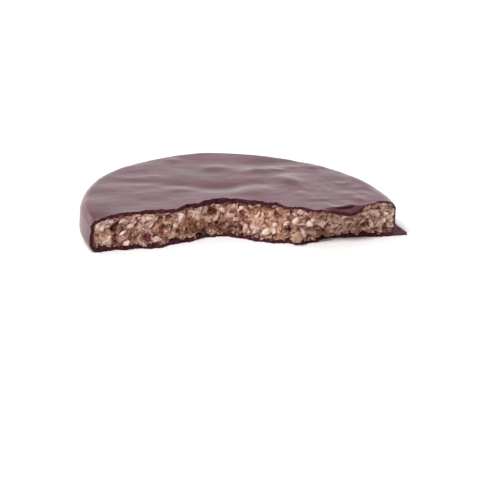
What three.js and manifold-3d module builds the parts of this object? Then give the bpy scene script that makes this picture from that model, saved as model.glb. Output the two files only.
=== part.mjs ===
// A round, flat protein cookie covered all over with a thin coat of dark chocolate.
// Its front half has been bitten away, so the coat is an open shell and the coarse crumb
// of the filling, with its nibs of nut and berry, shows at the bitten face.
// Millimetres, +Z up. The cookie lies on its flat base, the bite faces -Y.
import * as THREE from "three";
import { mergeVertices } from "three/addons/utils/BufferGeometryUtils.js";
import { ImprovedNoise } from "three/addons/math/ImprovedNoise.js";
import Module from "manifold-3d";

// The whole cookie before the bite
const RADIUS = 35;
const HEIGHT = 8.4;
const RIM_ROUNDING = 2.2;
const WALL_SWAY = 0.25;
const RIPPLE = 0.2;
const RIPPLE_LENGTH = 5.5;

// Chocolate that ran down the wall and set as an uneven foot, wider at +X, tucked under at -X,
// with a fin of it standing out where the bite ends at the right; angles in radians
const FOOT_MEAN = 0.2;
const FOOT_SWING = 1.5;
const FOOT_WAVE = 0.3;
const FOOT_HEIGHT = 3.2;
const FOOT_LIP = 0.7;
const FOOT_CURVE = 1.4;
const TUCK_HEIGHT = 2.6;
const TUCK_CURVE = 2.2;
const FIN_REACH = 0.9;
const FIN_TURN = -0.1;
const FIN_SPREAD = 0.2;

// The wall bulges beside the bite's right end and is flattened beside its left end
const BULGE = 0.5;
const BULGE_TURN = -0.12;
const BULGE_SPREAD = 0.22;
const FLATTENING = 0.4;
const FLAT_TURN = -3.0;
const FLAT_SPREAD = 0.25;

// Thickness of the coat, the fine clearance between it and the filling,
// and how far the filling lies off the middle, towards +X
const COAT_TOP = 0.9;
const COAT_SIDE = 0.65;
const COAT_BASE = 1.0;
const CLEARANCE = 0.15;
const CORE_ROUNDING = 1.4;
const CORE_SHIFT = 0.32;

// The bite: a wavy line across the cookie, given at the top and at the base by points in x and y
const BITE_AT_TOP = [
  [-37, -5], [-32.6, -3.2], [-31, -2.2], [-25.5, -1.1], [-22.8, -0.95], [-20.5, -0.3],
  [-14.5, -0.45], [-10.6, 2.2], [-8.7, 2.2], [-6.4, 4], [-3, 5], [0.2, 4],
  [3.4, 2.1], [5.7, 1.6], [6.8, 0.55], [8.5, 0.35], [10.2, -3], [12.6, -3.3],
  [15.8, -5.8], [19.4, -5.9], [22.5, -3.8], [26.5, -3], [30, -3.4], [31.3, -2.4],
  [37, -2.4],
];
const BITE_AT_BASE = [
  [-37, -3], [-31, -2.3], [-28, -1.7], [-25.8, -2.1], [-23, -1.4], [-20, -1.9],
  [-17.8, -1.9], [-14.5, -0.3], [-11, 0.7], [-6.5, 2.7], [-2.2, 2.9], [1, 1.2],
  [4.2, -1.3], [8, -2.9], [10.5, -3.3], [12.8, -4.6], [16.8, -3.7], [19.5, -1.9],
  [22, -1.5], [24.3, -2], [28.5, -1.95], [31, -2.5], [37, -2.4],
];
const SNAP_JAG = 0.3;

// A flap of the top coat, right of the ridge, that cracked along its root, dropped a little there
// and tips down over the crumb
const FLAP_LEFT = [17.4, 19.4];
const FLAP_RIGHT = [26, 28.6];
const FLAP_ROOT = [-5, -4];
const FLAP_SLOPE = 0.55;
const FLAP_DROP = 0.28;
const FLAP_LENGTH = 4;
const CRACK_LEFT = [19.4, 21.9];
const CRACK_RIGHT = [23.9, 25.9];
const FLAP_FRONT = [
  [17, 9], [18.6, -5.4], [20.4, -5.75], [21.6, -5.75], [23.5, -5.8], [24.6, -5.55],
  [25.5, -5.5], [26.4, -4.9], [27.6, -4], [28.6, -3.2], [30, 9],
];
const FLAP_UNDERSIDE = HEIGHT - 2.8;

// The bitten face of the filling
const CRUMB_SET_BACK = 0.35;
const CRUMB_RELIEF = 0.75;
const CRUMB_CELL = 0.9;
const CRUMB_ROWS = 12;
const NIB_COUNT = 90;
const NIB_LARGEST = 1.35;
const NIB_SMALLEST = 0.65;
const NIB_PROUD = 0.1;

// Facets
const AROUND = 84;
const RINGS = 12;
const SNAP_CELL = 0.75;
const SNAP_ROWS = 12;

const wasm = await Module();
wasm.setup();
const noise = new ImprovedNoise();

const { lerp, clamp, smoothstep, seededRandom } = THREE.MathUtils;

function solidFrom(geometry) {
  geometry.deleteAttribute("normal");
  geometry.deleteAttribute("uv");
  const merged = mergeVertices(geometry, 1e-4);
  const corners = [];
  for (let i = 0; i < merged.index.count; i += 3) {
    const [a, b, c] = [0, 1, 2].map((k) => merged.index.getX(i + k));
    if (a !== b && b !== c && c !== a) corners.push(a, b, c);
  }
  return new wasm.Manifold(new wasm.Mesh({
    numProp: 3,
    vertProperties: new Float32Array(merged.attributes.position.array),
    triVerts: new Uint32Array(corners),
  }));
}

function geometryFrom(solid) {
  const mesh = solid.getMesh();
  const geometry = new THREE.BufferGeometry();
  geometry.setAttribute("position", new THREE.BufferAttribute(mesh.vertProperties, 3));
  geometry.setIndex(new THREE.BufferAttribute(mesh.triVerts, 1));
  return geometry;
}

// Keeps the one body of a solid, without loose scraps or hollows sealed inside
function largestBody(solid) {
  return solid.decompose().reduce((best, body) => (body.volume() > best.volume() ? body : best));
}

function moveVertices(geometry, move) {
  const position = geometry.attributes.position;
  const point = new THREE.Vector3();
  for (let i = 0; i < position.count; i += 1) {
    move(point.fromBufferAttribute(position, i));
    position.setXYZ(i, point.x, point.y, point.z);
  }
  return geometry;
}

// A line through points, easing from one to the next
function alongKnots(knots, x) {
  const next = knots.findIndex((knot) => x < knot[0]);
  if (next < 0) return knots[knots.length - 1][1];
  const [xBefore, yBefore] = knots[Math.max(0, next - 1)];
  const [xAfter, yAfter] = knots[next];
  return lerp(yBefore, yAfter, smoothstep(x, xBefore, xAfter));
}

// Where the bite crosses the cookie at x, on a level from 0 at the base to 1 at the top
function biteLine(x, level) {
  return lerp(alongKnots(BITE_AT_BASE, x), alongKnots(BITE_AT_TOP, x), level);
}

function flapShare(x) {
  return smoothstep(x, ...FLAP_LEFT) * (1 - smoothstep(x, ...FLAP_RIGHT));
}

// How far the flap has come off along its crack: not yet at the crack's ends
function crackShare(x) {
  return smoothstep(x, ...CRACK_LEFT) * (1 - smoothstep(x, ...CRACK_RIGHT));
}

// The flap tips about a line that slants back to the right
function flapHang(x, y) {
  const root = lerp(...FLAP_ROOT, smoothstep(x, FLAP_LEFT[1] + 1, FLAP_RIGHT[0] - 1));
  const forward = clamp(root - y, 0, FLAP_LENGTH);
  const drop = FLAP_DROP * crackShare(x) * smoothstep(forward, 0, 0.2);
  return flapShare(x) * (FLAP_SLOPE * forward + drop);
}

function topRipple(x, y) {
  return RIPPLE * noise.noise(x / RIPPLE_LENGTH, y / RIPPLE_LENGTH, 3.7);
}

// A soft share, 1 at a turn round the cookie and dying away to both sides
function near(angle, turn, spread) {
  return Math.exp((2 * (Math.cos(angle - turn) - 1)) / spread ** 2);
}

function wallSway(angle) {
  const sway = WALL_SWAY * (Math.cos(angle) - 1 + 0.5 * Math.sin(3 * angle + 0.5));
  const bulge = BULGE * near(angle, BULGE_TURN, BULGE_SPREAD);
  return sway + bulge - FLATTENING * near(angle, FLAT_TURN, FLAT_SPREAD);
}

function footReach(angle) {
  const wave = Math.sin(5 * angle + 0.8) + 0.6 * Math.sin(9 * angle + 2.1);
  const fin = FIN_REACH * near(angle, FIN_TURN, FIN_SPREAD);
  return FOOT_MEAN + FOOT_SWING * Math.cos(angle) + FOOT_WAVE * wave + fin;
}

// How far the foot stands out at a height: a blunt lip that thins upward, or a tuck under the wall
function footSpread(angle, z) {
  const reach = footReach(angle);
  if (reach < 0) return reach * (1 - clamp(z / TUCK_HEIGHT, 0, 1)) ** TUCK_CURVE;
  return reach * (1 - clamp((z - FOOT_LIP) / (FOOT_HEIGHT - FOOT_LIP), 0, 1)) ** FOOT_CURVE;
}

// A closed, round body with a rounded rim, turned about Z from its profile
function roundBody(radius, base, top, rounding, rings, levels) {
  const profile = [new THREE.Vector2(0, base), new THREE.Vector2(radius * 0.6, base)];
  for (const level of levels) profile.push(new THREE.Vector2(radius, level));
  for (let i = 0; i <= 4; i += 1) {
    const turn = (i / 4) * (Math.PI / 2);
    const r = radius - rounding * (1 - Math.cos(turn));
    profile.push(new THREE.Vector2(r, top - rounding * (1 - Math.sin(turn))));
  }
  for (let i = rings - 1; i >= 0; i -= 1) {
    profile.push(new THREE.Vector2(((radius - rounding) * i) / rings, top));
  }
  return new THREE.LatheGeometry(profile, AROUND).rotateX(Math.PI / 2);
}

// Gives a round body the sway of the wall and the hang of the flap, the outermost one also
// the foot at the base and the ripples of the top, and an inner one its place off the middle
// and only the tuck of the foot
function shapeBody(geometry, radius, top, rounding, outermost) {
  return moveVertices(geometry, (point) => {
    const flat = Math.hypot(point.x, point.y);
    const angle = Math.atan2(point.y, point.x);
    const edge = smoothstep(flat, radius - 3, radius - 0.1);
    const foot = footSpread(angle, point.z);
    const spread = (wallSway(angle) + (outermost ? foot : Math.min(0, foot))) * edge;
    const onTop = smoothstep(point.z, top - rounding, top);
    if (flat > 0) {
      point.x *= (flat + spread) / flat;
      point.y *= (flat + spread) / flat;
    }
    if (outermost) point.z += topRipple(point.x, point.y) * onTop;
    else point.x += CORE_SHIFT;
    point.z -= flapHang(point.x, point.y) * onTop;
  });
}

// The block that a bite takes away: its back follows the given line, its front lies clear of the cookie
function biteBlock(cell, rows, line) {
  const width = 2 * RADIUS + 14;
  const tall = HEIGHT + 2;
  const block = new THREE.BoxGeometry(width, 2, tall, Math.round(width / cell), 1, rows);
  block.translate(0, 0, HEIGHT / 2);
  return solidFrom(moveVertices(block, (point) => {
    point.y = point.y > 0 ? line(point.x, point.z) : -2 * RADIUS;
  }));
}

function snapLine(x, z) {
  const level = clamp(z / HEIGHT, 0, 1);
  const jag = noise.noise(x / 1.9, z / 1.2, 9.3) + 0.6 * noise.noise(x / 0.9, z / 0.8, 1.7);
  const edge = biteLine(x, level);
  const front = Math.min(edge, alongKnots(FLAP_FRONT, x));
  return lerp(edge, front, smoothstep(z, FLAP_UNDERSIDE - 0.4, FLAP_UNDERSIDE)) + SNAP_JAG * jag;
}

function crumbLine(x, z) {
  const level = clamp(z / HEIGHT, 0, 1);
  const crags = noise.noise(x / 2.6, z / 2.1, 5.1) + 0.8 * noise.noise(x / 1.2, z / 1.1, 7.9);
  return biteLine(x, level) + CRUMB_SET_BACK + CRUMB_RELIEF * crags;
}

// A nib: an angular chip, turned and drawn out at random, pressed into the bitten face
function nib(number) {
  const draw = (k) => seededRandom(1000 * number + k);
  const share = number / NIB_COUNT;
  const size = lerp(NIB_LARGEST, NIB_SMALLEST, Math.sqrt(share));
  const x = lerp(-RADIUS + 1.5, RADIUS - 1.5, (number * 0.618034 + 0.35) % 1);
  const lowest = COAT_BASE + 0.5 * size;
  const highest = HEIGHT - COAT_TOP - 0.5 * size - 2 * flapShare(x);
  const z = lerp(lowest, highest, (number * 0.754878 + 0.15) % 1);
  const chip = new THREE.IcosahedronGeometry(size, 0);
  chip.scale(1, lerp(0.6, 0.85, draw(1)), lerp(0.55, 0.8, draw(2)));
  chip.rotateX(Math.PI * draw(3));
  chip.rotateY(Math.PI * draw(4));
  chip.rotateZ(Math.PI * draw(5));
  chip.translate(x, crumbLine(x, z) - NIB_PROUD, z);
  return solidFrom(chip);
}

// Coat: the outer body less its hollow, open where the bite went through
const wallLevels = [0, FOOT_LIP, 1.4, 2.2, FOOT_HEIGHT, 4.7];
const outerGeometry = roundBody(RADIUS, 0, HEIGHT, RIM_ROUNDING, RINGS, wallLevels);
const outer = solidFrom(shapeBody(outerGeometry, RADIUS, HEIGHT, RIM_ROUNDING, true));

function coreBody(shrink, rings) {
  const radius = RADIUS - COAT_SIDE - shrink;
  const base = COAT_BASE + shrink;
  const top = HEIGHT - COAT_TOP - shrink;
  const geometry = roundBody(radius, base, top, CORE_ROUNDING, rings, [base, 3.5]);
  return solidFrom(shapeBody(geometry, radius, top, CORE_ROUNDING, false));
}

const hollow = coreBody(0, RINGS);
const coatSolid = largestBody(outer.subtract(hollow).subtract(biteBlock(SNAP_CELL, SNAP_ROWS, snapLine)));

// Filling: the core that runs through the coat, bitten off, with the nibs that stand out of it
const core = coreBody(CLEARANCE, 1);
const nibs = Array.from({ length: NIB_COUNT }, (unused, number) => nib(number));
const bittenCore = core.subtract(biteBlock(CRUMB_CELL, CRUMB_ROWS, crumbLine));
const fillingSolid = largestBody(wasm.Manifold.union([bittenCore, ...nibs]).intersect(core));

const chocolate = new THREE.MeshStandardMaterial({ color: 0x4b252d, roughness: 0.35, metalness: 0 });
const crumb = new THREE.MeshStandardMaterial({ color: 0x916b60, roughness: 0.85, metalness: 0 });

const coating = new THREE.Mesh(geometryFrom(coatSolid), chocolate);
coating.name = "coating";
const filling = new THREE.Mesh(geometryFrom(fillingSolid), crumb);
filling.name = "filling";

// Standing on z = 0, centred over the origin
const bitten = new THREE.Group();
bitten.add(coating, filling);
const box = new THREE.Box3().setFromObject(bitten);
bitten.position.set(-(box.min.x + box.max.x) / 2, -(box.min.y + box.max.y) / 2, -box.min.z);

const cookie = new THREE.Group();
cookie.add(bitten);

export default cookie;
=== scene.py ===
"""A bitten protein cookie: a thin coat of dark chocolate round a coarse crumb of nut, oat and berry.

Shapes are worked out in millimetres from the middle of the whole cookie's base, with the bite
facing -Y, and each finished piece is then set into the frame in metres.
"""
import math
import random

import bmesh
import bpy
from mathutils import Matrix, Vector, noise


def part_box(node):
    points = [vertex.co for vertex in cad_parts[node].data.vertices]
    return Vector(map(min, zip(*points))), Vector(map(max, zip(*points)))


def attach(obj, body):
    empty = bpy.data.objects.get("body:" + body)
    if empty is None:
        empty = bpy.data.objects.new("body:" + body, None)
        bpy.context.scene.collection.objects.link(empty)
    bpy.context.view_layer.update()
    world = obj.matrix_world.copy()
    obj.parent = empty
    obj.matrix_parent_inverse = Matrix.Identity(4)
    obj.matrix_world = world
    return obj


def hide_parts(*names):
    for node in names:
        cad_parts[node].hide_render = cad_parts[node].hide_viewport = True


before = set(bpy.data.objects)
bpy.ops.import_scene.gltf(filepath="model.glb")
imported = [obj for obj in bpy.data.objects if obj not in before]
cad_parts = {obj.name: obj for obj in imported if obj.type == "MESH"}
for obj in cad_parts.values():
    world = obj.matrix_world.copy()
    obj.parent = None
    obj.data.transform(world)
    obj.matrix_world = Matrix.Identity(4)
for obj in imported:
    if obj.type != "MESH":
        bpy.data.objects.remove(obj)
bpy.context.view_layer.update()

MM = 0.001

# The whole cookie before the bite
RADIUS = 35.0
HEIGHT = 8.4
RIM_ROUNDING = 2.2
WALL_SWAY = 0.25
WAVER = 0.22
# How far inside the wall its sway starts, and how far inside it is full
WALL_BAND = (3.0, 0.1)

# Thickness of the coat, thickest on top at the scallop and thin to the right, and ragged at the bite
COAT_TOP = 0.9
COAT_SIDE = 0.65
COAT_BASE = 1.0
THINNEST = 0.25
SCALLOP_X, SCALLOP_WIDTH, SCALLOP_SWELL = -5.0, 9.0, 0.35
MIDDLE_THINNING, MIDDLE_FROM_TO = 0.3, (4.0, 11.0)
END_THINNING, END_FROM_TO = 0.22, (26.0, 29.0)
FLAP_SWELL = 0.25
EDGE_THINNING = 0.08
BASE_THINNING = 0.15

# The core inside the coat: its rim, how far it lies to the right, between which distances behind the
# bite its uneven top fades out, and how far above the base coat its uneven base does
CORE_ROUNDING = 1.4
CORE_SHIFT = 0.32
UNEVEN_BEHIND = (1.5, 4.0)
UNEVEN_ABOVE = 1.0

# The crumb's broken grains: sizes, and how much each size changes the paleness
GRAIN_SIZES = ((2.1, 0.08), (1.2, 0.22), (0.7, 0.32), (0.42, 0.22))
CRUMB_PALENESS = 0.57
# How much grains stand out and tip, as shares of their size, and their creases, darkened with painted shade
GRAIN_STEP, GRAIN_TIP = 0.14, 0.34
CREASE_WIDTH, CREASE_DEPTH, CREASE_SHADE = 0.06, 0.12, 0.07
GRAIN_BEND, GRAIN_BEND_LENGTH = 0.4, 1.1
# The bitten face lies behind the coat's edge, with crags and grit on it
CRUMB_SET_BACK, CRAG_HEIGHT, GRIT_HEIGHT = 0.3, 0.45, 0.1

# Where the crumb is paler or darker than the rest: place along the bite and height, half width and
# half height, and how much paler
CRUMB_ZONES = (
    (-31.0, 6.4, 2.2, 1.2, 0.6),
    (-31.0, 2.0, 2.2, 1.4, 0.45),
    (-31.4, 4.2, 1.6, 1.2, 0.15),
    (-27.4, 4.5, 2.2, 1.6, -0.4),
    (-24.0, 6.4, 1.6, 1.0, 0.25),
    (-24.2, 2.4, 1.6, 1.6, -0.3),
    (-20.5, 6.2, 3.0, 1.6, 0.15),
    (-17.5, 2.6, 1.8, 1.8, -0.25),
    (-10.5, 2.8, 3.4, 1.6, -0.15),
    (-7.2, 5.8, 1.9, 1.5, 0.3),
    (-4.3, 5.7, 1.4, 1.3, -0.35),
    (-2.5, 2.2, 4.5, 1.2, -0.3),
    (1.4, 4.7, 2.0, 1.4, -0.3),
    (4.7, 4.6, 1.7, 2.2, 0.25),
    (14.6, 6.2, 2.6, 1.4, -0.2),
    (17.6, 2.2, 2.0, 1.0, -0.2),
    (23.0, 4.4, 2.2, 2.4, 0.4),
    (33.8, 3.4, 1.2, 2.4, 0.15),
)

# Where syrup or fruit sugar stains the crumb amber
SYRUP_ZONES = (
    (-30.5, 3.6, 2.0, 2.6, 0.35),
    (-14.5, 4.6, 3.0, 1.6, 0.45),
    (-9.5, 3.4, 3.4, 1.8, 0.45),
    (5.8, 5.4, 3.2, 2.0, 0.60),
    (8.5, 2.6, 2.0, 1.2, 0.45),
    (12.4, 1.8, 1.3, 1.1, 0.50),
)

# Gaps between the grains, and a hole that a lost grain left: place along the bite, height, half
# length, half width and lean in degrees
GAPS = (
    (-28.0, 5.1, 1.5, 0.9, 74), (-27.5, 1.7, 0.8, 0.4, 0), (-24.4, 3.9, 1.0, 0.3, 73),
    (-22.9, 5.9, 1.2, 0.55, 103), (-18.0, 6.0, 1.0, 0.5, 17), (-16.9, 4.3, 0.85, 0.5, 3),
    (-15.6, 6.4, 1.0, 0.35, 176), (-10.1, 3.9, 1.1, 0.7, 146), (-4.8, 5.4, 1.1, 0.95, 66),
    (-3.8, 2.8, 0.7, 0.3, 75), (1.9, 5.6, 0.8, 0.45, 27), (3.7, 6.2, 1.3, 0.36, 42),
    (8.9, 5.9, 1.1, 0.6, 7), (11.0, 3.4, 1.9, 0.7, 166), (15.0, 3.7, 2.0, 0.5, 173),
    (19.3, 4.0, 1.0, 0.28, 87), (28.3, 3.3, 1.3, 0.6, 40), (29.5, 4.9, 1.0, 0.5, 140),
    (31.2, 1.9, 1.2, 0.35, 6), (33.4, 2.1, 1.0, 0.5, 87),
)
# Painted shade that darkens the gaps, then how deep they sink and how much deeper where wide
GAP_SHADE = 0.25
GAP_DEPTH, GAP_DEPTH_BY_WIDTH = 0.15, 0.6

# Chocolate that ran down the wall and set as a foot, wider at +X and tucked under at -X, with a
# fin of it standing out where the bite ends at the right; angles in radians
FOOT_MEAN = 0.2
FOOT_SWING = 1.5
FOOT_WAVE = 0.3
FOOT_HEIGHT = 3.2
FOOT_LIP = 0.7
FOOT_CURVE = 1.4
TUCK_HEIGHT = 2.6
TUCK_CURVE = 2.2
FIN_REACH = 0.9
FIN_TURN, FIN_SPREAD = -0.1, 0.2
FIN_SKIN_FROM = 34.6

# The wall bulges beside the bite's right end and is flattened beside its left end
BULGE = 0.5
BULGE_TURN, BULGE_SPREAD = -0.12, 0.22
FLATTENING = 0.4
FLAT_TURN, FLAT_SPREAD = -3.0, 0.25

# The bite's line at the top and at the base of the cookie: x along it, and y
BITE_AT_TOP = (
    (-37.0, -5.0), (-32.6, -3.2), (-31.0, -2.2), (-25.5, -1.1), (-22.8, -0.95), (-20.5, -0.3),
    (-14.5, -0.45), (-10.6, 2.2), (-8.7, 2.2), (-6.4, 4.0), (-3.0, 5.0), (0.2, 4.0),
    (3.4, 2.1), (5.7, 1.6), (6.8, 0.55), (8.5, 0.35), (10.2, -3.0), (12.6, -3.3),
    (15.8, -5.8), (19.4, -5.9), (22.5, -3.8), (26.5, -3.0), (30.0, -3.4), (31.3, -2.4),
    (37.0, -2.4),
)
BITE_AT_BASE = (
    (-37.0, -3.0), (-31.0, -2.3), (-28.0, -1.7), (-25.8, -2.1), (-23.0, -1.4), (-20.0, -1.9),
    (-17.8, -1.9), (-14.5, -0.3), (-11.0, 0.7), (-6.5, 2.7), (-2.2, 2.9), (1.0, 1.2),
    (4.2, -1.3), (8.0, -2.9), (10.5, -3.3), (12.8, -4.6), (16.8, -3.7), (19.5, -1.9),
    (22.0, -1.5), (24.3, -2.0), (28.5, -1.95), (31.0, -2.5), (37.0, -2.4),
)
BITE_END_TURN = -0.067
# How much wider and taller than the cookie the bite's block is
BITE_OVER_WIDE, BITE_OVER_TALL = 14.0, 2.0
# Teeth of the snapped edge, coarse and fine, and how much of them the flap lacks
SNAP_JAG, SNAP_TEETH, FLAP_EVENNESS = 0.22, 0.34, 0.6

# A flap of the top coat that cracked along its root, dropped a little and tips down over the crumb
FLAP_LEFT = (17.4, 19.4)
FLAP_RIGHT = (26.0, 28.6)
FLAP_ROOT = (-5.0, -4.0)
FLAP_ROOT_EASE = 1.0
FLAP_SLOPE = 0.55
FLAP_DROP = 0.28
FLAP_LENGTH = 4.0
FLAP_FRONT = (
    (17.0, 9.0), (18.6, -5.4), (20.4, -5.75), (21.6, -5.75), (23.5, -5.8), (24.6, -5.55),
    (25.5, -5.5), (26.4, -4.9), (27.6, -4.0), (28.6, -3.2), (30.0, 9.0),
)
FLAP_UNDERSIDE = HEIGHT - 2.8
FLAP_UNDERSIDE_EASE = 0.4
CRACK_LEFT = (19.4, 21.9)
CRACK_RIGHT = (23.9, 25.9)
CRACK_WIDTH = 0.2
CRACK_DEPTH = 0.5
CRACK_STEP = 0.2
CRACK_AHEAD = 0.1
# Deeper than this share of the crack, its faces take the snapped chocolate: dull, and darker as painted
# shade
CRACK_DULL_FROM = 0.25

# Waves of the top: their heights, and where the small ridges to the right start and are full
LONG_WAVE, SHORT_WAVE = 0.16, 0.04
RIDGE, RIDGE_LEVEL, RIDGE_FROM_TO = 0.14, 0.4, (9.0, 20.0)

# Where the coat flowed and set: swells and troughs of the top, each with its middle, its half length
# and half width, its turn in degrees and its height
FLOW_MARKS = (
    (11.0, 20.4, 4.0, 1.6, -2, 0.24),
    (10.4, 21.0, 2.6, 0.7, 6, 0.12),
    (14.4, 20.8, 2.2, 0.7, -22, 0.12),
    (1.0, 23.4, 3.2, 1.9, -4, 0.32),
    (11.7, 25.2, 6.5, 2.6, -6, -0.36),
    (-10.7, 14.1, 4.0, 1.8, -6, -0.20),
    (-1.7, 11.4, 5.5, 2.6, -4, -0.52),
    (7.3, 12.5, 5.0, 2.1, 4, -0.20),
    (-17.5, 19.7, 4.6, 1.7, -6, 0.15),
    (-18.5, 16.9, 5.0, 1.6, -6, -0.16),
    (-14.0, 20.0, 1.6, 0.8, -20, 0.09),
    (-10.3, 11.4, 2.8, 1.2, -4, 0.14),
    (6.0, 8.6, 3.8, 2.8, 8, 0.36),
    (15.6, 13.4, 2.6, 3.0, 0, 0.50),
    (19.3, 0.7, 3.4, 1.1, -6, 0.12),
    (15.6, 4.6, 1.6, 1.4, -30, 0.12),
    (27.1, -0.2, 2.2, 1.4, -20, 0.18),
    (24.3, -3.3, 1.2, 0.6, -10, 0.10),
    (22.9, 20.9, 1.5, 1.4, -30, 0.28),
    (3.0, 33.0, 9.0, 5.0, 0, 0.35),
    (-7.3, 30.0, 1.6, 1.5, 0, 0.20),
    (26.8, 9.9, 1.5, 1.2, 0, 0.09),
    (29.0, 6.8, 1.4, 1.0, 0, 0.08),
    (26.0, 3.5, 1.6, 1.0, 0, 0.09),
    (-33.0, -3.2, 4.0, 2.8, 0, -0.65),
)

# How fine the meshes are
TURN_STEPS = 480
TOP_RING = 0.42
BASE_RING = RADIUS / 2
CORE_RING = 1.2
COAT_WALL_ROWS = 20
CORE_WALL_ROWS = 4
RIM_ROWS = 8
REFINE_CUTS = 2
# The refined band of the core reaches this far before and behind its middle
CORE_FINE_FRONT, CORE_FINE_BACK = -9.0, 8.0
SNAP_CELL = 0.14
CRUMB_CELL = 0.13
SLIVER = 0.01
SAME_POINT = 1e-4
ON_AXIS = 1e-6
OUTLINE_STEPS = 720

# Edges bent by more degrees than this show as sharp
COAT_SHARP = 40
CRUMB_SHARP = 70
GRAIN_SHARP = 75

# The photograph's view, with the pixel where the middle of the top lies
VIEW_DISTANCE = 700.0
VIEW_ELEVATION = math.radians(20.2)
VIEW_TURN = math.radians(16.7)
VIEW_ROLL = math.radians(2.9)
IMAGE_PIXELS = 480
PIXELS_PER_MM = 4.59
TOP_MIDDLE_PIXEL = (238.8, 204.6)
SENSOR_MM = 36.0

# Brightness of the surroundings along the far horizon and the near one, how much is left overhead, and
# how high and how far to each side the change reaches, as shares of a unit direction
FAR_GLOW = 1.58
NEAR_GLOW = 0.5
ZENITH_SHARE = 0.55
GLOW_HEIGHT = 0.85
GLOW_DEPTH = 0.6
FLOOR_HALF = 3.0


def smooth_step(value, low, high):
    share = min(1.0, max(0.0, (value - low) / (high - low)))
    return share * share * (3 - 2 * share)


def mix(a, b, share):
    return a + (b - a) * share


def waves(x, y, length, width, layer):
    """Noise between -1 and 1 with waves of a length and width, another one for each layer."""
    return noise.noise((x / length, y / width, layer))


# The cookie's form


def along_knots(knots, x):
    """The height at x of a line that eases from knot to knot."""
    for (x_before, y_before), (x_after, y_after) in zip(knots, knots[1:]):
        if x < x_after:
            return mix(y_before, y_after, smooth_step(x, x_before, x_after))
    return knots[-1][1]


def bite_line(x, z):
    """Where the bite crosses the cookie at x, at the height z."""
    level = min(1.0, max(0.0, z / HEIGHT))
    return mix(along_knots(BITE_AT_BASE, x), along_knots(BITE_AT_TOP, x), level)


def flap_share(x):
    return smooth_step(x, *FLAP_LEFT) * (1 - smooth_step(x, *FLAP_RIGHT))


def flap_root(x):
    """The line along which the flap tips, slanting back to the right."""
    return mix(*FLAP_ROOT, smooth_step(x, FLAP_LEFT[1] + FLAP_ROOT_EASE, FLAP_RIGHT[0] - FLAP_ROOT_EASE))


def crack_share(x):
    """How far the flap has come off along its crack: not yet at the crack's ends."""
    return smooth_step(x, *CRACK_LEFT) * (1 - smooth_step(x, *CRACK_RIGHT))


def flap_hang(x, y):
    """How far the flap hangs down at a spot in front of its root."""
    forward = min(FLAP_LENGTH, max(0.0, flap_root(x) - y))
    drop = FLAP_DROP * crack_share(x) * smooth_step(forward, 0.0, CRACK_STEP)
    return flap_share(x) * (FLAP_SLOPE * forward + drop)


def crack(x, y):
    """How deep the crack along the flap's root is at a spot."""
    off = y - flap_root(x) + CRACK_AHEAD
    return CRACK_DEPTH * crack_share(x) * math.exp(-((off / CRACK_WIDTH) ** 2))


def near(angle, turn, spread):
    """A soft share, 1 at a turn round the cookie and dying away to both sides."""
    return math.exp(2 * (math.cos(angle - turn) - 1) / spread ** 2)


def wall_sway(angle):
    sway = WALL_SWAY * (math.cos(angle) - 1 + 0.5 * math.sin(3 * angle + 0.5))
    bulge = BULGE * near(angle, BULGE_TURN, BULGE_SPREAD)
    return sway + bulge - FLATTENING * near(angle, FLAT_TURN, FLAT_SPREAD)


def foot_reach(angle):
    wave = math.sin(5 * angle + 0.8) + 0.6 * math.sin(9 * angle + 2.1)
    fin = FIN_REACH * near(angle, FIN_TURN, FIN_SPREAD)
    return FOOT_MEAN + FOOT_SWING * math.cos(angle) + FOOT_WAVE * wave + fin


def foot_spread(angle, z):
    """How far the foot stands out at a height: a blunt lip that thins upward, or a tuck under the wall."""
    reach = foot_reach(angle)
    if reach < 0:
        return reach * (1 - min(1.0, z / TUCK_HEIGHT)) ** TUCK_CURVE
    return reach * (1 - min(1.0, max(0.0, z - FOOT_LIP) / (FOOT_HEIGHT - FOOT_LIP))) ** FOOT_CURVE


def top_ripple(x, y):
    """Soft waves where the coat flowed and set, round the larger dents and swells."""
    rise = LONG_WAVE * waves(x, y, 9.0, 5.5, 3.7) + SHORT_WAVE * waves(x, y, 3.0, 1.9, 8.1)
    ridge = RIDGE_LEVEL - abs(waves(x, y, 3.0, 4.0, 12.5))
    rise += RIDGE * smooth_step(x, *RIDGE_FROM_TO) * ridge
    for middle_x, middle_y, half_length, half_width, turn, height in FLOW_MARKS:
        across, along = x - middle_x, y - middle_y
        cos, sin = math.cos(math.radians(turn)), math.sin(math.radians(turn))
        far = (across * cos + along * sin) / half_length
        wide = (along * cos - across * sin) / half_width
        rise += height * math.exp(-far * far - wide * wide)
    return rise


def wall_waver(angle, z):
    """Slight unevenness of the wall and rim, as the coat set on the way down."""
    return WAVER * noise.noise((3.4 * math.cos(angle), 3.4 * math.sin(angle), z / 6.0))


def coat_top(x):
    """Thickness of the top coat along the bite, ragged except at the flap."""
    swell = SCALLOP_SWELL * math.exp(-(((x - SCALLOP_X) / SCALLOP_WIDTH) ** 2))
    swell -= MIDDLE_THINNING * smooth_step(x, *MIDDLE_FROM_TO) + END_THINNING * smooth_step(x, *END_FROM_TO)
    swell += FLAP_SWELL * flap_share(x)
    ragged = 0.3 * waves(x, 0.0, 1.5, 1.0, 6.6) + 0.35 * waves(x, 0.0, 0.7, 1.0, 2.9)
    return max(THINNEST, COAT_TOP - EDGE_THINNING + swell + ragged * (1 - 0.8 * flap_share(x)))


def coat_base(x):
    """Thickness of the base coat along the bite, where the crumb hangs over it here and there."""
    ragged = 0.5 * waves(x, 1.0, 2.4, 1.0, 3.6) + 0.4 * waves(x, 1.0, 0.9, 1.0, 8.8)
    return COAT_BASE - BASE_THINNING + ragged


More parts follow.
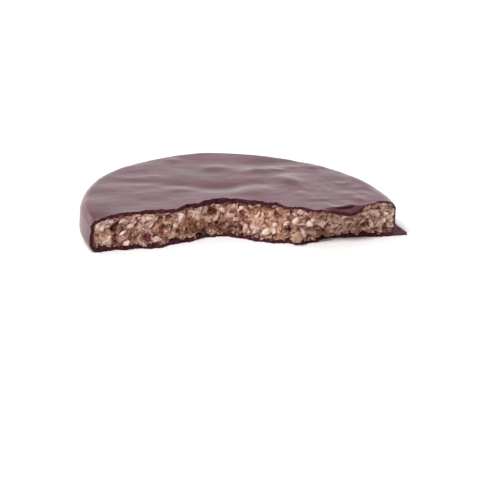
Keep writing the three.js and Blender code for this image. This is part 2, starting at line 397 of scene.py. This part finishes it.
def turned_body(profile, steps):
    """A closed round body: a profile line from axis to axis, spun about Z."""
    body = bmesh.new()
    line = [body.verts.new((r, 0, z)) for r, z in profile]
    edges = [body.edges.new(pair) for pair in zip(line, line[1:])]
    bmesh.ops.spin(
        body, geom=line + edges, axis=(0, 0, 1), cent=(0, 0, 0),
        angle=2 * math.pi, steps=steps, use_merge=True,
    )
    bmesh.ops.remove_doubles(body, verts=body.verts, dist=SAME_POINT)
    bmesh.ops.recalc_face_normals(body, faces=body.faces)
    return body


def round_profile(radius, base, top, rounding, wall_rows, ring, base_ring):
    """From the axis along the base, up the wall, round the rim and back along the top."""
    base_rings = round(radius / base_ring)
    profile = [(radius * i / base_rings, base) for i in range(base_rings)]
    rim_start = top - rounding
    profile += [(radius, mix(base, rim_start, i / wall_rows)) for i in range(wall_rows)]
    for i in range(RIM_ROWS + 1):
        turn = i / RIM_ROWS * math.pi / 2
        profile.append((radius - rounding * (1 - math.cos(turn)), rim_start + rounding * math.sin(turn)))
    rings = round((radius - rounding) / ring)
    profile += [((radius - rounding) * i / rings, top) for i in range(rings - 1, -1, -1)]
    return profile


def refine(body, low, high):
    """Splits the edges that lie inside a box, for detail finer than the rest."""
    inside = {vert for vert in body.verts if all(a < c < b for a, c, b in zip(low, vert.co, high))}
    edges = [edge for edge in body.edges if inside.issuperset(edge.verts)]
    bmesh.ops.subdivide_edges(body, edges=edges, cuts=REFINE_CUTS, use_grid_fill=True)


def shape_body(body, radius, top, rounding, outermost):
    """Sways the wall and hangs the flap. The outermost body also gets its foot, its ripples and its
    crack; the core gets its uneven top and base instead."""
    for vert in body.verts:
        x, y, z = vert.co
        flat = math.hypot(x, y)
        if flat < ON_AXIS:
            continue
        angle = math.atan2(y, x)
        edge = smooth_step(flat, radius - WALL_BAND[0], radius - WALL_BAND[1])
        foot = foot_spread(angle, z)
        if outermost:
            spread = (wall_sway(angle) + wall_waver(angle, z) + foot) * edge
        else:
            spread = (wall_sway(angle) + min(0.0, foot)) * edge
        x, y = x * (flat + spread) / flat, y * (flat + spread) / flat
        on_top = smooth_step(z, top - rounding, top)
        if outermost:
            z += (top_ripple(x, y) - crack(x, y)) * on_top
        else:
            x += CORE_SHIFT
            on_base = 1 - smooth_step(z, COAT_BASE, COAT_BASE + UNEVEN_ABOVE)
            by_bite = 1 - smooth_step(y - bite_line(x, HEIGHT), *UNEVEN_BEHIND)
            z += (COAT_TOP - coat_top(x) + top_ripple(x, y)) * on_top * by_bite
            z += (coat_base(x) - COAT_BASE) * on_base
        z -= flap_hang(x, y) * on_top
        vert.co = x, y, z
    bmesh.ops.triangulate(body, faces=body.faces[:])


def bite_block(cell, line):
    """The block that a bite takes away: its back follows the line, its front is far off."""
    width, tall = 2 * RADIUS + BITE_OVER_WIDE, HEIGHT + BITE_OVER_TALL
    block = bmesh.new()
    bmesh.ops.create_grid(block, x_segments=round(width / cell), y_segments=round(tall / cell), size=0.5)
    for vert in block.verts:
        x, z = vert.co.x * width, vert.co.y * tall + HEIGHT / 2
        vert.co = x, line(x, z), z
    grown = bmesh.ops.extrude_face_region(block, geom=block.faces[:])
    for item in grown["geom"]:
        if isinstance(item, bmesh.types.BMVert):
            item.co.y = -2 * RADIUS
    bmesh.ops.recalc_face_normals(block, faces=block.faces)
    bmesh.ops.triangulate(block, faces=block.faces[:])
    return block


def snap_line(x, z):
    """The broken edge of the coat, fine-toothed, with the flap left hanging out."""
    jag = waves(x, z, 1.9, 1.2, 9.3) + waves(x, z, 0.8, 0.8, 1.7)
    fine = waves(x, z, 0.5, 0.45, 4.4)
    edge = bite_line(x, z)
    front = min(edge, along_knots(FLAP_FRONT, x))
    edge = mix(edge, front, smooth_step(z, FLAP_UNDERSIDE - FLAP_UNDERSIDE_EASE, FLAP_UNDERSIDE))
    return edge + (SNAP_JAG * jag + SNAP_TEETH * fine) * (1 - FLAP_EVENNESS * flap_share(x))


def zone_sum(zones, x, z):
    """What soft round zones of the bitten face add up to at a spot."""
    total = 0.0
    for middle, height, half_width, half_height, amount in zones:
        total += amount * math.exp(-(((x - middle) / half_width) ** 2) - ((z - height) / half_height) ** 2)
    return total


def gap_share(gap, x, z):
    """How much of a gap there is at a spot: all of it inside, none a little outside."""
    middle_x, middle_z, half_length, half_width, lean = gap
    across, along = x - middle_x, z - middle_z
    cos, sin = math.cos(math.radians(lean)), math.sin(math.radians(lean))
    far = (across * cos + along * sin) / half_length
    wide = (along * cos - across * sin) / half_width
    return math.exp(-((far * far + wide * wide) ** 2))


def crumb_grain(x, z):
    """How far the broken crumb stands out at a spot and how pale it is there: flats of a few sizes,
    each tipped its own way, with creases between them and gaps, both sunk and darkened with painted shade."""
    bent_x = x + GRAIN_BEND * waves(x, z, GRAIN_BEND_LENGTH, GRAIN_BEND_LENGTH, 11.3)
    bent_z = z + GRAIN_BEND * waves(x, z, GRAIN_BEND_LENGTH, GRAIN_BEND_LENGTH, 21.7)
    stand = 0.0
    pale = CRUMB_PALENESS + zone_sum(CRUMB_ZONES, x, z)
    for layer, (size, contrast) in enumerate(GRAIN_SIZES):
        spot = Vector((bent_x / size, 5.0 + layer, bent_z / size))
        distances, hearts = noise.voronoi(spot)
        heart = hearts[0]
        off = spot - heart
        tipped = noise.cell(heart * 5.7) * off.x + noise.cell(heart * 9.1) * off.z
        crease = math.exp((distances[0] - distances[1]) / CREASE_WIDTH)
        stand += size * (GRAIN_STEP * noise.cell(heart * 3.3) + GRAIN_TIP * tipped - CREASE_DEPTH * crease)
        # The creases darken the paleness: painted shade
        pale += contrast * noise.cell(heart * 3.1) ** 3 - CREASE_SHADE * crease
    for gap in GAPS:
        share = gap_share(gap, bent_x, bent_z)
        stand -= share * (GAP_DEPTH + GAP_DEPTH_BY_WIDTH * gap[3])
        # Painted shade darkens the gap
        pale -= GAP_SHADE * share
    return stand, pale


def crumb_line(x, z):
    """The bitten face of the filling: crags, then grains with creases between them, then grit."""
    crags = waves(x, z, 2.6, 2.1, 5.1) + 0.8 * waves(x, z, 1.2, 1.1, 7.9)
    grit = waves(x, z, 0.6, 0.6, 2.2) + 0.7 * waves(x, z, 0.3, 0.3, 6.4)
    behind = bite_line(x, z) + CRUMB_SET_BACK
    return behind + CRAG_HEIGHT * crags - crumb_grain(x, z)[0] + GRIT_HEIGHT * grit


# From shapes to pieces

rim_turns = [mix(BITE_END_TURN, math.pi, step / OUTLINE_STEPS) for step in range(OUTLINE_STEPS + 1)]
reaches = [RADIUS + wall_sway(turn) + foot_reach(turn) for turn in rim_turns]
far_x = max(reach * math.cos(turn) for reach, turn in zip(reaches, rim_turns))
far_y = max(reach * math.sin(turn) for reach, turn in zip(reaches, rim_turns))
low_corner, high_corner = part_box("coating")
middle = Vector((high_corner[0] - far_x * MM, high_corner[1] - far_y * MM, low_corner[2]))
into_frame = Matrix.Translation(middle) @ Matrix.Scale(MM, 4)


def loose_object(name, shape, materials):
    mesh = bpy.data.meshes.new(name)
    shape.to_mesh(mesh)
    shape.free()
    for material in materials:
        mesh.materials.append(material)
    piece = bpy.data.objects.new(name, mesh)
    bpy.context.collection.objects.link(piece)
    return piece


def cut(piece, *tools):
    """Takes the tools' shapes out of the piece for good, without slivers along the cut; the cut
    faces keep the tool's material."""
    for tool in tools:
        bite = piece.modifiers.new("bite", "BOOLEAN")
        bite.object = tool
        bite.operation = "DIFFERENCE"
        bite.solver = "MANIFOLD"
        bite.material_mode = "TRANSFER"
    done = piece.evaluated_get(bpy.context.evaluated_depsgraph_get())
    mesh = bpy.data.meshes.new_from_object(done)
    cleaned = bmesh.new()
    cleaned.from_mesh(mesh)
    bmesh.ops.remove_doubles(cleaned, verts=cleaned.verts, dist=SLIVER)
    bmesh.ops.dissolve_degenerate(cleaned, edges=cleaned.edges, dist=SLIVER)
    cleaned.to_mesh(mesh)
    cleaned.free()
    piece.modifiers.clear()
    piece.data = mesh
    for tool in tools:
        bpy.data.objects.remove(tool)


def set_in_frame(piece, sharp_above):
    """Puts a finished piece where the frame has it and makes it ride there."""
    piece.data.transform(into_frame)
    piece.data.shade_smooth()
    piece.data.set_sharp_from_angle(angle=math.radians(sharp_above))
    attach(piece, "root")


# Materials

# The part of a noise's range that a patch spreads over, and how far patches change the roughness
PATCH_LOW, PATCH_HIGH = 0.28, 0.72
ROUGHNESS_SWING = 0.15


def linear(hex_colour):
    """An sRGB hex value as a linear colour."""
    channels = [int(hex_colour[i:i + 2], 16) / 255 for i in (1, 3, 5)]
    return [c / 12.92 if c <= 0.04045 else ((c + 0.055) / 1.055) ** 2.4 for c in channels] + [1.0]


def add_node(tree, kind, inputs=None, **settings):
    """Adds a node with its settings; an input is given a value, or a link from another node's output."""
    made = tree.nodes.new("ShaderNode" + kind)
    for name, value in settings.items():
        setattr(made, name, value)
    for socket, value in (inputs or {}).items():
        if isinstance(value, bpy.types.NodeSocket):
            tree.links.new(value, made.inputs[socket])
        else:
            made.inputs[socket].default_value = value
    return made


def food_material(
    name, colours, patch_mm, roughness, grit_mm, grit_depth_mm, by_grain=0.0, stain=None, **skin,
):
    """A surface whose colour runs through a row of colours, in patches or from grain to grain,
    stained with another colour here and there, over fine grit."""
    material = bpy.data.materials.new(name)
    material.use_nodes = True
    tree = material.node_tree
    tree.nodes.clear()
    place = add_node(tree, "TexCoord").outputs["Object"]
    patch = add_node(tree, "TexNoise", {"Vector": place, "Scale": 1 / (patch_mm * MM), "Detail": 4.0})
    spread = add_node(
        tree, "MapRange",
        {"Value": patch.outputs["Fac"], "From Min": PATCH_LOW, "From Max": PATCH_HIGH},
        interpolation_type="SMOOTHSTEP")
    share = spread.outputs["Result"]
    if by_grain:
        grain = add_node(tree, "Attribute", attribute_name="tint").outputs["Fac"]
        share = add_node(tree, "Mix", {0: by_grain, 2: share, 3: grain}).outputs[0]
    ramp = add_node(tree, "ValToRGB", {"Fac": share})
    stops = ramp.color_ramp.elements
    for added in range(len(colours) - len(stops)):
        stops.new(0.5)
    for number, (stop, colour) in enumerate(zip(stops, colours)):
        stop.position = number / (len(colours) - 1)
        stop.color = linear(colour)
    colour = ramp.outputs["Color"]
    if stain:
        where = add_node(tree, "Attribute", attribute_name="syrup").outputs["Fac"]
        stained = add_node(
            tree, "Mix", {0: where, 6: colour, 7: linear(stain)}, data_type="RGBA", blend_type="MULTIPLY")
        colour = stained.outputs[2]
    rough_patch = add_node(tree, "MapRange", {
        "Value": patch.outputs["Fac"], "From Min": PATCH_LOW, "From Max": PATCH_HIGH,
        "To Min": roughness * (1 - ROUGHNESS_SWING), "To Max": roughness * (1 + ROUGHNESS_SWING),
    }, interpolation_type="SMOOTHSTEP")
    grit = add_node(tree, "TexNoise", {"Vector": place, "Scale": 1 / (grit_mm * MM), "Detail": 3.0})
    bump = add_node(tree, "Bump", {"Height": grit.outputs["Fac"], "Distance": grit_depth_mm * MM})
    surface = add_node(tree, "BsdfPrincipled", {
        "Base Color": colour, "Roughness": rough_patch.outputs["Result"],
        "Normal": bump.outputs["Normal"], **skin,
    })
    add_node(tree, "OutputMaterial", {"Surface": surface.outputs["BSDF"]})
    return material


# Moist food lets some light in and out again near its edges
MOIST = {
    "Subsurface Weight": 0.75, "Subsurface Radius": (1.0, 0.8, 0.7), "Subsurface Scale": 0.7 * MM,
    "Specular IOR Level": 0.3,
}

# Dark couverture that ran over the cookie and set: a satin skin, maroon where it turns to the light
chocolate = food_material(
    "enrobed_dark_chocolate", ("#4b1d2b", "#592635"), 9.0, 0.26, 0.7, 0.004, IOR=1.46)
# The same chocolate where it snapped: dull and grainy, with little shine, and darker as painted shade
snapped = food_material(
    "snapped_dark_chocolate_painted_shade", ("#25050d", "#571f2b"), 0.7, 0.65, 0.25, 0.08,
    **{"Specular IOR Level": 0.15})
# Ground nut, oat and syrup pressed together: moist grains from brown to cream, amber where syrup lies
crumb = food_material(
    "pressed_nut_crumb", ("#4c1e11", "#845341", "#b08777", "#cfac9d", "#f6dcd2"), 1.0, 0.5, 0.4, 0.03,
    by_grain=0.8, stain="#fff0c4", **MOIST)
# Chopped blanched nut and coconut: cream, a little see-through at its edges
nut = food_material(
    "chopped_nut", ("#a87f70", "#cba79a", "#f4dcd2"), 0.8, 0.45, 0.3, 0.03, by_grain=0.6, **MOIST)
# A whole rolled oat: khaki, dull and lightly furrowed
oat = food_material(
    "rolled_oat", ("#8f6d58", "#ab8873", "#c6a590"), 0.7, 0.55, 0.3, 0.05, by_grain=0.3, **MOIST)
# Date chopped into the dough: amber brown, soft and moist
date = food_material(
    "chopped_date", ("#4a221d", "#69362d", "#85523f"), 0.9, 0.3, 0.3, 0.03, by_grain=0.6, **MOIST)
# Freeze-dried red berry, broken small: deep red with a soft shine
berry = food_material(
    "dried_berry", ("#470a14", "#7a1926"), 0.6, 0.3, 0.25, 0.04, by_grain=0.6)

# Coat and crumb

outer_profile = round_profile(RADIUS, 0, HEIGHT, RIM_ROUNDING, COAT_WALL_ROWS, TOP_RING, BASE_RING)
outer = turned_body(outer_profile, TURN_STEPS)
refine(outer, (FLAP_LEFT[0], FLAP_ROOT[0] - 4, HEIGHT - 1), (FLAP_RIGHT[1], FLAP_ROOT[1] + 2, HEIGHT + 1))
shape_body(outer, RADIUS, HEIGHT, RIM_ROUNDING, outermost=True)
# Faces deep in the crack take the snapped chocolate, whose darker colour paints shade into the crack
for face in outer.faces:
    spot = face.calc_center_median()
    if spot.z > HEIGHT / 2 and crack(spot.x, spot.y) > CRACK_DULL_FROM * CRACK_DEPTH:
        face.material_index = 1
coat = loose_object("chocolate_coat", outer, [chocolate, snapped])

core_radius, core_top = RADIUS - COAT_SIDE, HEIGHT - COAT_TOP


def core_shape():
    """The filling's round body, fine along the bite, where its top and its base are uneven."""
    profile = round_profile(
        core_radius, COAT_BASE, core_top, CORE_ROUNDING, CORE_WALL_ROWS, CORE_RING, CORE_RING)
    body = turned_body(profile, TURN_STEPS // 2)
    refine(body, (-RADIUS, CORE_FINE_FRONT, 0), (RADIUS, CORE_FINE_BACK, HEIGHT))
    shape_body(body, core_radius, core_top, CORE_ROUNDING, outermost=False)
    return body


# Cut faces of the coat take the snapped chocolate, whose darker colour is painted shade of the broken band
hollow = loose_object("hollow", core_shape(), [snapped])
snap = loose_object("snap", bite_block(SNAP_CELL, snap_line), [snapped])
cut(coat, hollow, snap)
for face in coat.data.polygons:
    if face.center.x > FIN_SKIN_FROM:
        face.material_index = 0
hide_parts("coating")
set_in_frame(coat, COAT_SHARP)

filling = loose_object("crumb_core", core_shape(), [crumb])
cut(filling, loose_object("bitten_off", bite_block(CRUMB_CELL, crumb_line), [crumb]))
# The crumb's paleness, painted shade of its creases and gaps included, and its syrup stain ride on its
# points
tints = [crumb_grain(vert.co.x, vert.co.z)[1] for vert in filling.data.vertices]
syrup = [zone_sum(SYRUP_ZONES, vert.co.x, vert.co.z) for vert in filling.data.vertices]
filling.data.attributes.new("tint", "FLOAT", "POINT").data.foreach_set("value", tints)
filling.data.attributes.new("syrup", "FLOAT", "POINT").data.foreach_set("value", syrup)
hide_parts("filling")
set_in_frame(filling, CRUMB_SHARP)

# Grains of the bitten face

draw = random.Random(31)
# Radius from and to in millimetres, how many, how close two may lie as a share of their radii, and
# the share of pale nut among them
GRAIN_SORTS = ((0.45, 0.7, 40, 1.0, 0.10), (0.28, 0.45, 120, 1.0, 0.15), (0.15, 0.28, 260, 0.9, 0.25))
TRIES_PER_GRAIN = 3
GRAIN_SHADES = (-0.1, 0.2)
DATE_ABOVE = 0.95
# How far a grain keeps from the top coat, the base coat and the wall, as shares of its radius, and from
# the flap in millimetres
ROOF_GAP, FLOOR_GAP, WALL_GAP, FLAP_GAP = 0.45, 0.35, 1.2, 1.4
# Flats of a grain, its lumps, and how much its length, width and thickness may differ
FLATS = 6
LUMP_HEIGHT, LUMPS_ACROSS = 0.4, 2.4
LENGTH_SPREAD = (0.8, 1.2)
# Crumbs that lie on the base coat's edge: how many, heights, radii, shades and the share of nut
LEDGE_CRUMBS = 45
LEDGE_HEIGHTS, LEDGE_RADII, LEDGE_SHADES = (0.6, 1.2), (0.12, 0.45), (0.3, 0.7)
LEDGE_NUT_SHARE = 0.12
LEDGE_CLEAR_LEFT, LEDGE_CLEAR_RIGHT = 4.0, 2.0
# Grains that the eye finds first, by kind: place along the bite, height, half length, half width and
# lean in degrees
MARKED_GRAINS = {
    "berry": ((-20.6, 2.6, 0.9, 0.8, 119),),
    "date": (
        (17.4, 2.6, 0.8, 0.5, 10), (18.6, 2.4, 0.7, 0.5, 170), (33.2, 2.3, 0.7, 0.45, 87),
        (31.4, 6.6, 0.6, 0.4, 115),
    ),
    "oat": ((12.4, 1.9, 1.1, 0.95, 40),),
    "nut": (
        (-31.2, 5.5, 0.9, 0.7, 52), (-30.4, 6.6, 0.75, 0.42, 8), (-29.0, 6.75, 0.7, 0.35, 0),
        (-26.3, 6.5, 0.6, 0.4, 11), (-26.1, 3.7, 0.75, 0.42, 23), (-25.5, 1.7, 0.8, 0.5, 23),
        (-24.5, 6.8, 1.0, 0.3, 13), (-24.6, 5.1, 0.8, 0.45, 36), (-23.6, 5.8, 0.7, 0.4, 36),
        (-21.6, 6.4, 0.75, 0.65, 80), (-19.9, 6.5, 1.0, 0.55, 170), (-19.9, 5.0, 1.1, 0.5, 46),
        (-16.6, 7.0, 0.5, 0.33, 150), (-14.2, 4.4, 0.47, 0.38, 90), (-13.1, 6.0, 1.5, 0.75, 100),
        (-11.4, 7.4, 0.75, 0.3, 9), (-9.7, 6.2, 0.58, 0.35, 31), (-3.3, 6.5, 0.9, 0.55, 167),
        (-2.3, 5.6, 0.8, 0.5, 140), (-0.7, 4.6, 0.9, 0.55, 147), (1.7, 6.4, 0.6, 0.45, 45),
        (3.4, 7.0, 0.8, 0.55, 167), (4.5, 5.2, 1.0, 0.6, 55), (4.2, 2.3, 0.8, 0.6, 20),
        (5.9, 5.4, 0.56, 0.42, 96), (6.5, 2.1, 1.2, 0.65, 5), (7.7, 2.4, 0.6, 0.5, 40),
        (8.3, 3.4, 0.84, 0.65, 173), (8.7, 7.1, 1.0, 0.5, 156), (10.3, 4.7, 0.9, 0.5, 40),
        (12.0, 5.4, 1.0, 0.6, 20), (13.1, 7.4, 0.85, 0.55, 150), (13.9, 2.4, 1.1, 0.6, 122),
        (15.0, 5.0, 0.9, 0.6, 60), (15.6, 5.9, 0.7, 0.5, 70), (17.6, 4.9, 0.95, 0.65, 160),
        (28.4, 6.0, 1.0, 0.5, 8), (29.9, 3.1, 1.0, 0.45, 96), (31.8, 2.9, 0.9, 0.5, 36),
        (33.0, 3.9, 0.7, 0.5, 40), (33.1, 5.4, 0.57, 0.36, 167),
    ),
    "crumb": (
        (-30.8, 3.0, 0.9, 0.6, 150), (-29.2, 1.9, 1.0, 0.6, 145), (-22.3, 2.6, 1.4, 0.7, 74),
        (-20.0, 1.5, 1.0, 0.5, 14), (-18.5, 1.9, 1.0, 0.6, 14), (-16.2, 5.2, 0.95, 0.33, 162),
        (-15.2, 2.2, 1.3, 0.6, 24), (-12.0, 3.3, 0.73, 0.34, 88), (-6.8, 6.4, 1.1, 0.7, 48),
        (-7.5, 4.7, 1.0, 0.5, 153), (-6.0, 3.9, 1.0, 0.5, 153), (-3.8, 4.1, 1.05, 0.6, 60),
        (0.6, 3.8, 0.8, 0.5, 150), (0.2, 6.6, 0.7, 0.45, 77), (2.1, 2.5, 1.05, 0.7, 91),
        (9.0, 2.1, 0.7, 0.55, 1), (20.8, 2.0, 0.67, 0.38, 32), (21.4, 4.7, 0.95, 0.75, 142),
        (23.9, 4.1, 1.3, 0.45, 3), (26.2, 2.1, 0.56, 0.48, 165), (26.6, 5.9, 0.9, 0.55, 0),
        (30.3, 6.2, 0.9, 0.5, 5), (28.5, 1.9, 1.0, 0.44, 177),
    ),
}
# Each kind's length, thickness and width, and how near its middle the first and the last flat lie
FLAKE, CHUNK = (1.4, 0.65, 0.9, 0.4, 0.8), (1.2, 0.9, 0.85, 0.4, 0.8)
KERNEL = (1.3, 0.9, 1.0, 0.6, 0.9)
MARKED_SHADES = {
    "crumb": (0.6, 0.8), "nut": (0.55, 1.0), "oat": (0.4, 0.4), "date": (0, 1), "berry": (0, 1),
}
KIND_FORMS = {"crumb": CHUNK, "nut": FLAKE, "oat": KERNEL, "date": CHUNK, "berry": CHUNK}
# Flats take this much off a grain's length, which is made up for where the length is given
TRUE_LENGTH = 1.3
MARKED_THICKNESS = 0.8
MARKED_LEAN_SPREAD = 15
# How far a grain stands out of the face or sits in it, as a share of its size
SEATING = 0.05
COARSE_BELOW = 0.45


def grain_kind(x, z, nut_share):
    """Pale nut where the crumb is pale, date where it is dark, else the crumb's own grain."""
    chance = draw.random() - zone_sum(CRUMB_ZONES, x, z)
    if chance < nut_share:
        return "nut"
    return "crumb" if chance < DATE_ABOVE else "date"


def any_way():
    """A direction drawn at random."""
    return Vector([draw.gauss(0, 1) for axis in range(3)]).normalized()


def add_grain(kind, place, lengths, turn, shade):
    """One broken grain, as pale as its shade: a ball with flats knocked off, drawn out and turned."""
    heap = heaps[kind]
    fineness = 1 if max(lengths) < COARSE_BELOW else 2
    made = bmesh.ops.create_icosphere(heap, subdivisions=fineness, radius=1.0)["verts"]
    flats = [(any_way(), draw.uniform(*KIND_FORMS[kind][3:])) for flat in range(FLATS)]
    for vert in made:
        for way, depth in flats:
            over = vert.co.dot(way) - depth
            if over > 0:
                vert.co -= way * over
        vert.co *= 1 + LUMP_HEIGHT * noise.noise(vert.co * LUMPS_ACROSS + place)
    form = Matrix.Translation(place) @ turn @ Matrix.Diagonal((*lengths, 1))
    bmesh.ops.transform(heap, matrix=form, verts=made)
    tint, syrup = heap.verts.layers.float["tint"], heap.verts.layers.float["syrup"]
    for vert in made:
        vert[tint] = shade
        vert[syrup] = zone_sum(SYRUP_ZONES, place.x, place.z)


def add_loose_grain(kind, place, radius, shade):
    """One grain of a radius, drawn out and turned at random."""
    lengths = [radius * share * draw.uniform(*LENGTH_SPREAD) for share in KIND_FORMS[kind][:3]]
    turn = Matrix.Rotation(draw.uniform(0, math.pi), 4, any_way())
    add_grain(kind, place, lengths, turn, shade)


def fits(x, z, radius, closeness):
    """Whether a grain of a radius lies inside the coat and clear of the grains before it."""
    y = bite_line(x, z)
    turn = math.atan2(y, x)
    reach = core_radius + wall_sway(turn) + min(0.0, foot_spread(turn, z))
    roof = HEIGHT - coat_top(x) - ROOF_GAP * radius - FLAP_GAP * flap_share(x)
    if math.hypot(x - CORE_SHIFT, y) > reach - WALL_GAP * radius:
        return False
    if not coat_base(x) + FLOOR_GAP * radius < z < roof:
        return False
    return all(
        math.hypot(x - other_x, z - other_z) > closeness * (radius + other_radius)
        for other_x, other_z, other_radius in settled
    )


settled = []
heaps = {kind: bmesh.new() for kind in KIND_FORMS}
for heap in heaps.values():
    heap.verts.layers.float.new("tint")
    heap.verts.layers.float.new("syrup")

for kind, grains in MARKED_GRAINS.items():
    for x, z, half_length, half_width, lean in grains:
        settled.append((x, z, (half_length + half_width) / 2))
        place = Vector((x, crumb_line(x, z) - SEATING * half_width, z))
        given = (half_length, MARKED_THICKNESS * half_width, half_width)
        lengths = [TRUE_LENGTH * length for length in given]
        own_lean = draw.uniform(-MARKED_LEAN_SPREAD, MARKED_LEAN_SPREAD) - lean
        turn = Matrix.Rotation(math.radians(own_lean), 4, "Y")
        shade = draw.uniform(*MARKED_SHADES[kind])
        add_grain(kind, place, lengths, turn, shade)
for smallest, largest, count, closeness, nut_share in GRAIN_SORTS:
    for attempt in range(count * TRIES_PER_GRAIN):
        x, z = draw.uniform(-core_radius, core_radius), draw.uniform(COAT_BASE, core_top)
        radius = draw.uniform(smallest, largest)
        if fits(x, z, radius, closeness):
            settled.append((x, z, radius))
            kind = grain_kind(x, z, nut_share)
            # A crumb grain takes the paleness round it, painted shade of creases and gaps included
            own_shade = crumb_grain(x, z)[1] + draw.uniform(*GRAIN_SHADES)
            shade = own_shade if kind == "crumb" else draw.random()
            add_loose_grain(kind, Vector((x, crumb_line(x, z) + SEATING * radius, z)), radius, shade)
for crumb_number in range(LEDGE_CRUMBS):
    x = draw.uniform(-core_radius + LEDGE_CLEAR_LEFT, core_radius - LEDGE_CLEAR_RIGHT)
    z = draw.uniform(*LEDGE_HEIGHTS)
    kind = "nut" if draw.random() < LEDGE_NUT_SHARE else "crumb"
    place = Vector((x, snap_line(x, z), z))
    add_loose_grain(kind, place, draw.uniform(*LEDGE_RADII), draw.uniform(*LEDGE_SHADES))

for kind, name, finish in (
    ("crumb", "crumb_grains", crumb), ("nut", "nut_nibs", nut), ("oat", "oat_kernel", oat),
    ("date", "date_bits", date), ("berry", "berry_bits", berry),
):
    set_in_frame(loose_object(name, heaps[kind], [finish]), GRAIN_SHARP)

# Floor, light and camera

floor_shape = bmesh.new()
bmesh.ops.create_grid(floor_shape, x_segments=1, y_segments=1, size=FLOOR_HALF)
# Matt white board, so even that it hardly shows
white_board = food_material("white_board", ("#f2f1f1", "#f6f5f5"), 90.0, 0.9, 5.0, 0.02)
floor = loose_object("floor", floor_shape, [white_board])

# White surroundings, brightest along the far horizon, dim overhead and behind the camera
away = Vector((math.sin(VIEW_TURN), math.cos(VIEW_TURN), 0))
right = Vector((math.cos(VIEW_TURN), -math.sin(VIEW_TURN), 0))
up = Vector((0, 0, 1))
world = bpy.data.worlds.new("studio")
world.use_nodes = True
sky = world.node_tree
toward = add_node(sky, "TexCoord").outputs["Generated"]
height = add_node(sky, "SeparateXYZ", {"Vector": toward}).outputs["Z"]
depth = add_node(sky, "VectorMath", {0: toward, 1: away}, operation="DOT_PRODUCT").outputs["Value"]
by_height = add_node(sky, "MapRange", {
    "Value": height, "From Max": GLOW_HEIGHT, "To Min": 1.0, "To Max": ZENITH_SHARE})
by_depth = add_node(sky, "MapRange", {
    "Value": depth, "From Min": -GLOW_DEPTH, "From Max": GLOW_DEPTH,
    "To Min": NEAR_GLOW, "To Max": FAR_GLOW})
glow = add_node(
    sky, "Math", {0: by_height.outputs["Result"], 1: by_depth.outputs["Result"]}, operation="MULTIPLY")
sky.nodes["Background"].inputs["Color"].default_value = (1, 1, 1, 1)
sky.links.new(glow.outputs["Value"], sky.nodes["Background"].inputs["Strength"])
bpy.context.scene.world = world
bpy.context.scene.view_settings.view_transform = "Standard"


def softbox(name, place, aim, size, watts):
    """A soft rectangular light that the camera doesn't see, in metres and watts."""
    light = bpy.data.lights.new(name, "AREA")
    light.shape = "RECTANGLE"
    light.size, light.size_y = size
    light.energy = watts
    lamp = bpy.data.objects.new(name, light)
    lamp.location = place
    lamp.rotation_euler = (Vector(aim) - Vector(place)).to_track_quat("-Z", "Y").to_euler()
    lamp.visible_camera = False
    bpy.context.collection.objects.link(lamp)


top_middle = middle + up * HEIGHT * MM

softbox("key_softbox", -0.35 * right - 0.4 * away + 0.8 * up, top_middle, (0.3, 0.3), 7.5)
softbox("left_softbox", -0.8 * right + 0.3 * away + 0.35 * up, top_middle, (0.4, 0.5), 2.4)

eye = top_middle + VIEW_DISTANCE * MM * (up * math.sin(VIEW_ELEVATION) - away * math.cos(VIEW_ELEVATION))
eye_up = up * math.cos(VIEW_ELEVATION) + away * math.sin(VIEW_ELEVATION)
roll_right = right * math.cos(VIEW_ROLL) + eye_up * math.sin(VIEW_ROLL)
roll_up = eye_up * math.cos(VIEW_ROLL) - right * math.sin(VIEW_ROLL)
off_right, off_down = [TOP_MIDDLE_PIXEL[i] - IMAGE_PIXELS / 2 for i in (0, 1)]
aim = top_middle + (roll_up * off_down - roll_right * off_right) / PIXELS_PER_MM * MM
back = (eye - aim).normalized()
side = roll_up.cross(back).normalized()
camera_data = bpy.data.cameras.new("photo_view")
camera_data.sensor_width = SENSOR_MM
camera_data.lens = PIXELS_PER_MM * VIEW_DISTANCE / IMAGE_PIXELS * SENSOR_MM
camera = bpy.data.objects.new("photo_view", camera_data)
camera.matrix_world = Matrix.Translation(eye) @ Matrix((side, back.cross(side), back)).transposed().to_4x4()
bpy.context.collection.objects.link(camera)
bpy.context.scene.camera = camera
